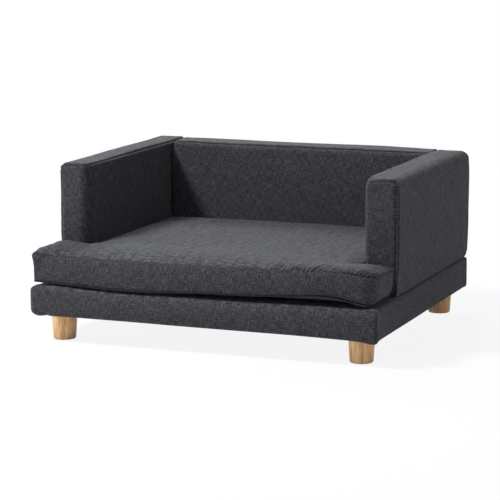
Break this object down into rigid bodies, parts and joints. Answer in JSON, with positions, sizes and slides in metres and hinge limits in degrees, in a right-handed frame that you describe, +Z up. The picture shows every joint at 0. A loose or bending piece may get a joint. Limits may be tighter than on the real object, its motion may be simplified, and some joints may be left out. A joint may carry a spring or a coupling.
{
  "type": "dog sofa bed",
  "caption": "Low upholstered dog sofa bed: padded base on short turned wooden legs, slab arms and back, and a loose T-shaped seat cushion with a rear zip that lifts out.",
  "frame": {"origin": "on the floor, under the middle of the base's outline", "axes": "+X to the right along the width, +Y from the open front to the back, +Z up"},
  "size_m": [0.72, 0.64, 0.345],
  "materials": {
    "upholstery": "charcoal heathered woven linen-look cloth",
    "foam": "open-cell polyurethane foam",
    "timber": "planed pine, unfinished",
    "board": "plywood and hardboard, unfinished",
    "leg_wood": "turned rubberwood under matt clear lacquer",
    "zinc_steel": "bright zinc plate",
    "glide": "black moulded nylon",
    "dust_cloth": "black spun-bonded non-woven",
    "zip_teeth": "moulded coil, dark grey",
    "zip_metal": "die-cast zinc, painted dark"
  },
  "bodies": {
    "frame": {"base_cover": "upholstery", "base_top_foam": "foam", "base_edge_foam": "foam", "deck_board": "board", "front_rail": "timber", "rear_rail": "timber", "left_rail": "timber", "right_rail": "timber", "center_rail": "timber", "corner_blocks": "timber", "frame_screws": "zinc_steel", "dust_cover": "dust_cloth", "staples": "zinc_steel", "leg_front_left": "leg_wood", "leg_front_right": "leg_wood", "leg_rear_left": "leg_wood", "leg_rear_right": "leg_wood", "hanger_bolts": "zinc_steel", "leg_nuts": "zinc_steel", "foot_glides": "glide", "left_arm_cover": "upholstery", "left_arm_foam": "foam", "left_arm_bottom_rail": "timber", "left_arm_top_rail": "timber", "left_arm_front_post": "timber", "left_arm_rear_post": "timber", "left_arm_inner_skin": "board", "left_arm_outer_skin": "board", "right_arm_cover": "upholstery", "right_arm_foam": "foam", "right_arm_bottom_rail": "timber", "right_arm_top_rail": "timber", "right_arm_front_post": "timber", "right_arm_rear_post": "timber", "right_arm_inner_skin": "board", "right_arm_outer_skin": "board", "back_cover": "upholstery", "back_foam": "foam", "back_bottom_rail": "timber", "back_top_rail": "timber", "back_left_post": "timber", "back_right_post": "timber", "back_middle_post": "timber", "back_front_skin": "board", "back_rear_skin": "board", "arm_bolts": "zinc_steel", "back_bolts": "zinc_steel", "bolt_washers": "zinc_steel", "panel_nuts": "zinc_steel"},
    "cushion": {"seat_cushion_cover": "upholstery", "seat_cushion_core": "foam", "zip_tape": "upholstery", "zip_chain": "zip_teeth"},
    "zip_slider": {"zip_slider": "zip_metal"},
    "zip_pull": {"zip_pull": "zip_metal"}
  },
  "joints": [
    {"name": "cushion_lift", "type": "slide", "parent": "frame", "child": "cushion", "axis": [0, 0, 1], "range_m": [0, 0.25]},
    {"name": "zip_slide", "type": "slide", "parent": "cushion", "child": "zip_slider", "axis": [-1, 0, 0], "range_m": [0, 0.375]},
    {"name": "zip_pull_swing", "type": "hinge", "parent": "zip_slider", "child": "zip_pull", "pos_m": [0.1945, 0.2308, 0.1463], "axis": [0, 0, -1], "range_deg": [0, 20]}
  ]
}
